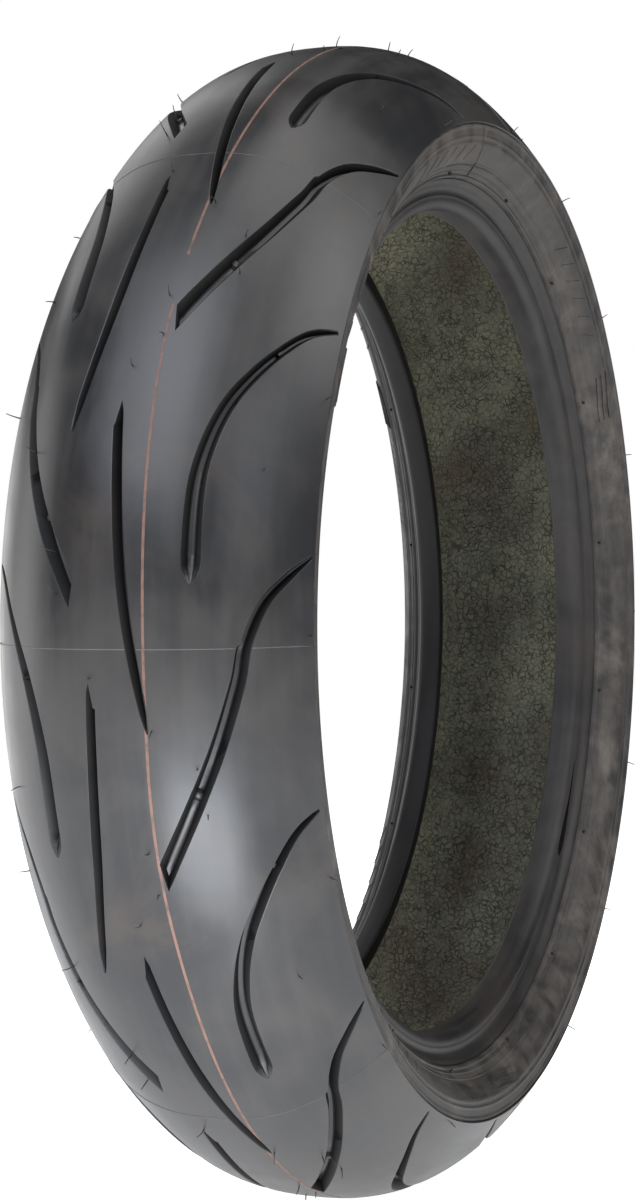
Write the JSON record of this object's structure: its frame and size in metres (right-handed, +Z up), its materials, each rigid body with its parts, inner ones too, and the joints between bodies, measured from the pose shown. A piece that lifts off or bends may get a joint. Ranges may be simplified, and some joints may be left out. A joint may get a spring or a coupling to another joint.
{
  "type": "motorcycle tire",
  "caption": "Bare radial rear tyre for a motorcycle: crowned tread with sweeping curved grooves, short sidewalls and wired beads round an open bore for the wheel rim.",
  "frame": {"origin": "centre of the tyre: on the wheel axis, midway between the tread edges", "axes": "+Y along the wheel axis towards the tyre's left side, +Z up as it stands on its tread, +X forward"},
  "size_m": [0.612, 0.155, 0.612],
  "materials": {
    "tread_centre_rubber": "satin, fine moulded grain",
    "tread_shoulder_rubber": "satin, fine moulded grain",
    "sidewall_rubber": "dull satin, scuffed",
    "bead_rubber": "satin, moulded ribs",
    "liner_rubber": "matt, crazed bladder print",
    "hidden_rubber": "matt",
    "carcass_cord": "rubberised cord",
    "belt_cord": "rubberised aramid cord",
    "bead_steel": "bronze-coated wire"
  },
  "bodies": {
    "root": {"tread_centre": "tread_centre_rubber", "tread_shoulder_left": "tread_shoulder_rubber", "tread_shoulder_right": "tread_shoulder_rubber", "tread_base": "hidden_rubber", "zero_degree_belt": "belt_cord", "crossed_belt_outer": "belt_cord", "crossed_belt_inner": "belt_cord", "belt_edge_cushion_left": "hidden_rubber", "belt_edge_cushion_right": "hidden_rubber", "carcass_ply_outer": "carcass_cord", "carcass_ply_inner": "carcass_cord", "inner_liner": "liner_rubber", "sidewall_left": "sidewall_rubber", "sidewall_right": "sidewall_rubber", "bead_wire_left": "bead_steel", "bead_wire_right": "bead_steel", "bead_wrap_left": "carcass_cord", "bead_wrap_right": "carcass_cord", "bead_filler_left": "hidden_rubber", "bead_filler_right": "hidden_rubber", "chafer_left": "carcass_cord", "chafer_right": "carcass_cord", "rim_cushion_left": "bead_rubber", "rim_cushion_right": "bead_rubber"}
  },
  "joints": []
}
